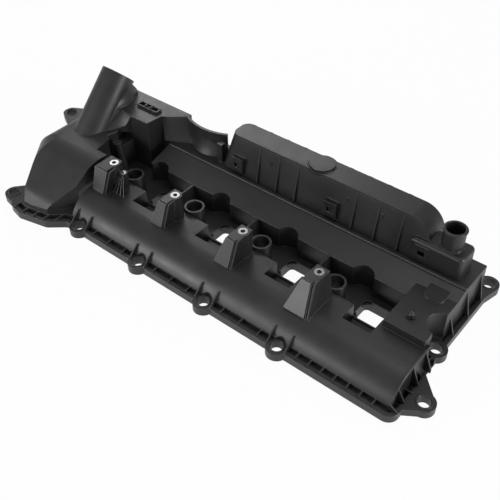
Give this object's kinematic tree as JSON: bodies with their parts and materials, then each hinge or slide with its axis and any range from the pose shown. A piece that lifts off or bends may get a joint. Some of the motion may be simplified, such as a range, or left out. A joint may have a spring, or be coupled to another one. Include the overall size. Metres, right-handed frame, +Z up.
{
  "type": "engine valve cover",
  "caption": "Black moulded engine valve cover with leaning oil filler neck, coil wells, injector windows, bolt lugs, and an oil separator with breather spigot.",
  "frame": {"origin": "middle of the near row of four bolt holes, on the sealing face", "axes": "+X along the engine towards the plain end, +Y from the near bolt row to the oil separator, +Z up from the cylinder head"},
  "size_m": [0.6746, 0.2573, 0.1258],
  "materials": {
    "cover_nylon": "satin",
    "separator_nylon": "satin",
    "steel_insert": "satin",
    "stud_steel": "satin",
    "seal_rubber": "matt",
    "diaphragm_rubber": "matt",
    "screw_steel": "zinc plated"
  },
  "bodies": {
    "root": {"valve_cover": "cover_nylon", "separator_housing": "separator_nylon", "separator_lid": "separator_nylon", "valve_cap": "separator_nylon", "valve_diaphragm": "diaphragm_rubber", "coil_inserts": "steel_insert", "sensor_insert": "steel_insert", "ball_stud": "stud_steel", "cover_gasket": "seal_rubber", "coil_well_seals": "seal_rubber", "window_seals": "seal_rubber", "baffle_plate": "separator_nylon", "baffle_screws": "screw_steel"}
  },
  "joints": []
}
